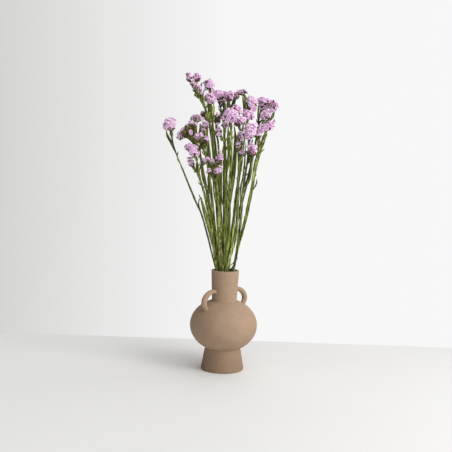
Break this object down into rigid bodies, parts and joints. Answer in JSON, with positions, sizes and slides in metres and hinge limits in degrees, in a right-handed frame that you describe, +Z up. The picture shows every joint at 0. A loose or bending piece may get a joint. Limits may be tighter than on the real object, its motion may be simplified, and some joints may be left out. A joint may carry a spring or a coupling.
{
  "type": "dried statice in a vase",
  "caption": "Bunch of dried statice with lilac papery heads on winged green stems, standing in a round matte stoneware vase with a tall neck, flared foot and small loop handles.",
  "frame": {"origin": "middle of the vase's flat underside", "axes": "+Z up along the vase's axis; the picture looks at the part from -Y, with +X to its right"},
  "size_m": [0.2506, 0.1494, 0.6468],
  "materials": {
    "stoneware": "matte",
    "stem": "matte",
    "petals": "matte"
  },
  "bodies": {
    "root": {"vase": "stoneware", "stem_far_left": "stem", "flowers_far_left_1": "petals", "stem_low_left": "stem", "flowers_low_left_1": "petals", "flowers_low_left_2": "petals", "flowers_low_left_3": "petals", "stem_left": "stem", "flowers_left_1": "petals", "flowers_left_2": "petals", "stem_top_left": "stem", "flowers_top_left_1": "petals", "flowers_top_left_2": "petals", "flowers_top_left_3": "petals", "stem_left_inner": "stem", "flowers_left_inner_1": "petals", "flowers_left_inner_2": "petals", "flowers_left_inner_3": "petals", "stem_left_crown": "stem", "flowers_left_crown_1": "petals", "flowers_left_crown_2": "petals", "stem_back": "stem", "flowers_back_1": "petals", "flowers_back_2": "petals", "stem_lowest": "stem", "flowers_lowest_1": "petals", "flowers_lowest_2": "petals", "flowers_lowest_3": "petals", "flowers_lowest_4": "petals", "stem_crown": "stem", "flowers_crown_1": "petals", "flowers_crown_2": "petals", "flowers_crown_3": "petals", "stem_middle": "stem", "flowers_middle_1": "petals", "flowers_middle_2": "petals", "stem_middle_front": "stem", "flowers_middle_front_1": "petals", "flowers_middle_front_2": "petals", "stem_right_crown": "stem", "flowers_right_crown_1": "petals", "flowers_right_crown_2": "petals", "stem_right_front": "stem", "flowers_right_front_1": "petals", "flowers_right_front_2": "petals", "stem_low_middle": "stem", "flowers_low_middle_1": "petals", "flowers_low_middle_2": "petals", "flowers_low_middle_3": "petals", "stem_right_low": "stem", "flowers_right_low_1": "petals", "flowers_right_low_2": "petals", "stem_far_right": "stem", "flowers_far_right_1": "petals", "flowers_far_right_2": "petals", "flowers_far_right_3": "petals", "stem_low_right": "stem", "flowers_low_right_1": "petals", "flowers_low_right_2": "petals"}
  },
  "joints": []
}
